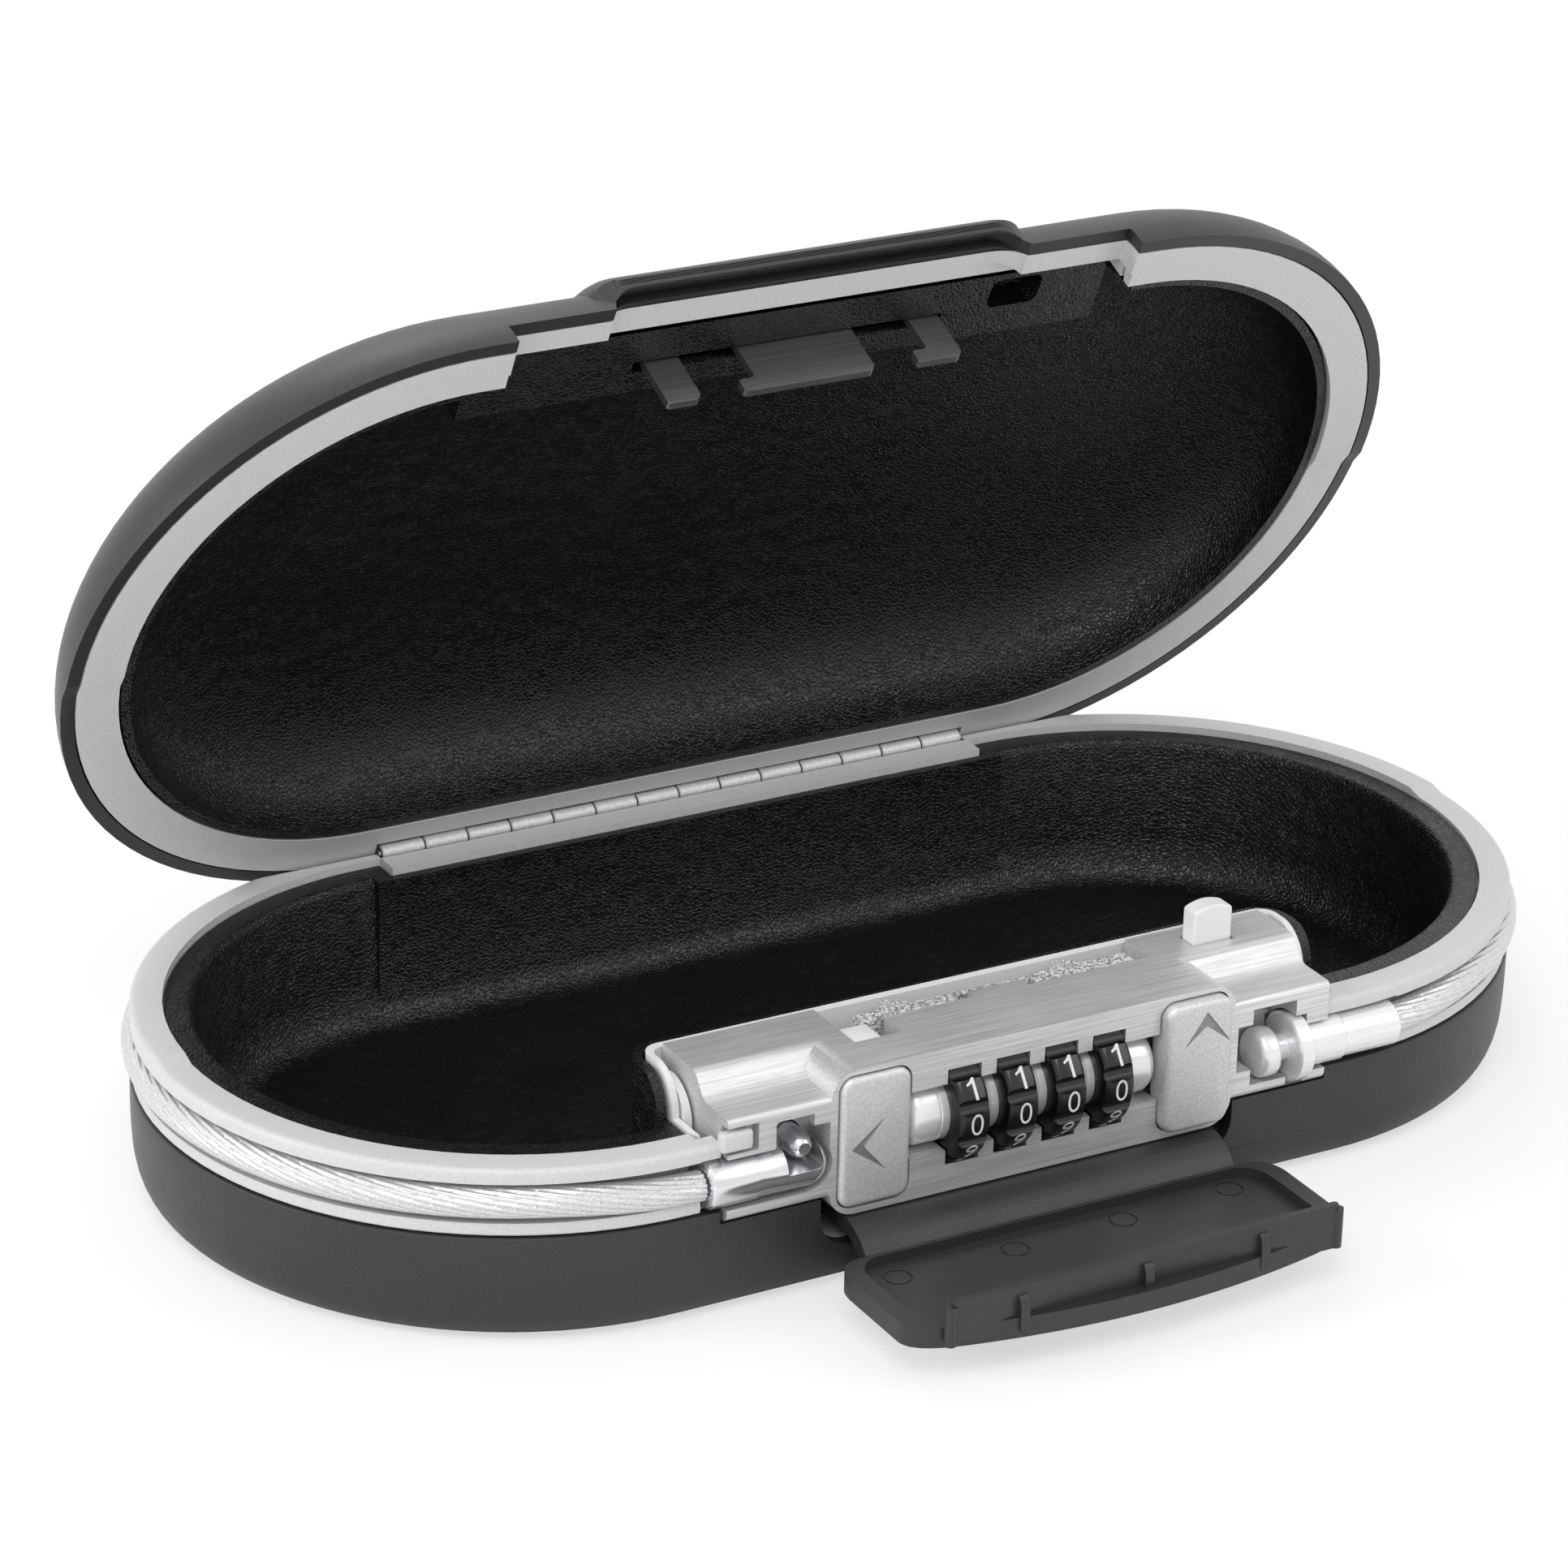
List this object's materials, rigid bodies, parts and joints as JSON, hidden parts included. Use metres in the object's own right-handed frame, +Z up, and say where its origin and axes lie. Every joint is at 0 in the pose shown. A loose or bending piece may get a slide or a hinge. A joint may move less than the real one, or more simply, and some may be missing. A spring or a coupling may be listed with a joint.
{
  "type": "portable car safe",
  "caption": "Oval clamshell travel safe with a hinged domed lid, a combination lock in its front edge, a folding dial cover and a security cable in a groove round the base.",
  "frame": {"origin": "middle of the flat underside, where the safe stands on a surface", "axes": "+X to the right seen from the lock side, -Y out of the lock's face, +Z up"},
  "size_m": [0.2427, 0.1653, 0.1405],
  "materials": {
    "charcoal": "satin charcoal",
    "ring_grey": "light grey satin",
    "liner_black": "black leather grain",
    "brushed": "brushed, lines along X",
    "satin": "fine satin",
    "steel": "plain steel",
    "plated": "bright plated",
    "dial_black": "black with white numbers",
    "white": "plain white",
    "cable_vinyl": "braided steel under clear vinyl",
    "cover_rubber": "charcoal, fine matt"
  },
  "bodies": {
    "base": {"base_shell": "charcoal", "base_ring": "ring_grey", "base_liner": "liner_black", "hinge_leaf_base": "ring_grey", "hinge_pin": "steel", "hinge_rivet_base_left": "steel", "hinge_rivet_base_right": "steel", "lock_housing": "brushed", "lock_tray": "ring_grey", "lock_screw_left": "steel", "lock_screw_right": "steel", "tray_screw_left": "steel", "tray_screw_right": "steel", "dial_spindle": "plated", "detent_spring": "steel", "cable": "cable_vinyl", "cable_plug": "plated", "cable_anchor": "plated", "cover_strap": "cover_rubber", "peg_spring": "steel", "cable_button_spring": "steel", "open_button_spring": "steel"},
    "lid": {"lid_shell": "charcoal", "lid_ring": "ring_grey", "lid_liner": "liner_black", "hinge_leaf_lid": "ring_grey", "hinge_rivet_lid_left": "steel", "hinge_rivet_lid_right": "steel", "strike_plate": "steel", "strike_screw_left": "steel", "strike_screw_right": "steel"},
    "dial_1_body": {"dial_1": "dial_black", "dial_sleeve_1": "plated"},
    "dial_2_body": {"dial_2": "dial_black", "dial_sleeve_2": "plated"},
    "dial_3_body": {"dial_3": "dial_black", "dial_sleeve_3": "plated"},
    "dial_4_body": {"dial_4": "dial_black", "dial_sleeve_4": "plated"},
    "cable_button_body": {"cable_button": "satin"},
    "cable_bolt_body": {"cable_bolt": "plated"},
    "open_button_body": {"open_button": "satin"},
    "latch_body": {"latch_slider": "satin"},
    "peg_body": {"lid_peg": "white"},
    "reset_body": {"reset_lever": "white"},
    "cover_body": {"dial_cover": "cover_rubber"}
  },
  "joints": [
    {"name": "lid_hinge", "type": "hinge", "parent": "base", "child": "lid", "pos_m": [0, 0.0567, 0.0307], "axis": [-1, 0, 0], "range_deg": [-64.5, 5]},
    {"name": "dial_1_spin", "type": "hinge", "parent": "base", "child": "dial_1_body", "pos_m": [-0.01305, -0.0562, 0.026], "axis": [1, 0, 0], "continuous": true},
    {"name": "dial_2_spin", "type": "hinge", "parent": "base", "child": "dial_2_body", "pos_m": [-0.00435, -0.0562, 0.026], "axis": [1, 0, 0], "continuous": true},
    {"name": "dial_3_spin", "type": "hinge", "parent": "base", "child": "dial_3_body", "pos_m": [0.00435, -0.0562, 0.026], "axis": [1, 0, 0], "continuous": true},
    {"name": "dial_4_spin", "type": "hinge", "parent": "base", "child": "dial_4_body", "pos_m": [0.01305, -0.0562, 0.026], "axis": [1, 0, 0], "continuous": true},
    {"name": "peg_slide", "type": "slide", "parent": "base", "child": "peg_body", "axis": [0, 0, -1], "range_m": [0, 0.005], "stiffness_N_per_m": 300, "springref_m": -0.001, "deforming": ["peg_spring"]},
    {"name": "latch_slide", "type": "slide", "parent": "base", "child": "latch_body", "axis": [1, 0, 0], "range_m": [0, 0.002]},
    {"name": "open_button_slide", "type": "slide", "parent": "base", "child": "open_button_body", "axis": [0, -1, 0], "range_m": [0, 0.0026], "deforming": ["open_button_spring"]},
    {"name": "cable_button_press", "type": "slide", "parent": "base", "child": "cable_button_body", "axis": [0, 1, 0], "range_m": [0, 0.0026], "stiffness_N_per_m": 400, "springref_m": -0.001, "deforming": ["cable_button_spring"]},
    {"name": "cable_bolt_slide", "type": "slide", "parent": "base", "child": "cable_bolt_body", "axis": [0, 1, 0], "range_m": [0, 0.0052]},
    {"name": "reset_slide", "type": "slide", "parent": "base", "child": "reset_body", "axis": [1, 0, 0], "range_m": [0, 0.003]},
    {"name": "cover_hinge", "type": "hinge", "parent": "base", "child": "cover_body", "pos_m": [0, -0.0649, 0.0104], "axis": [-1, 0, 0], "range_deg": [0, 90], "deforming": ["cover_strap"]}
  ],
  "couplings": [
    {"joint": "latch_slide", "follows": "peg_slide", "ratio": 0.4},
    {"joint": "open_button_slide", "follows": "peg_slide", "ratio": 0.52},
    {"joint": "cable_bolt_slide", "follows": "cable_button_press", "ratio": 2}
  ]
}
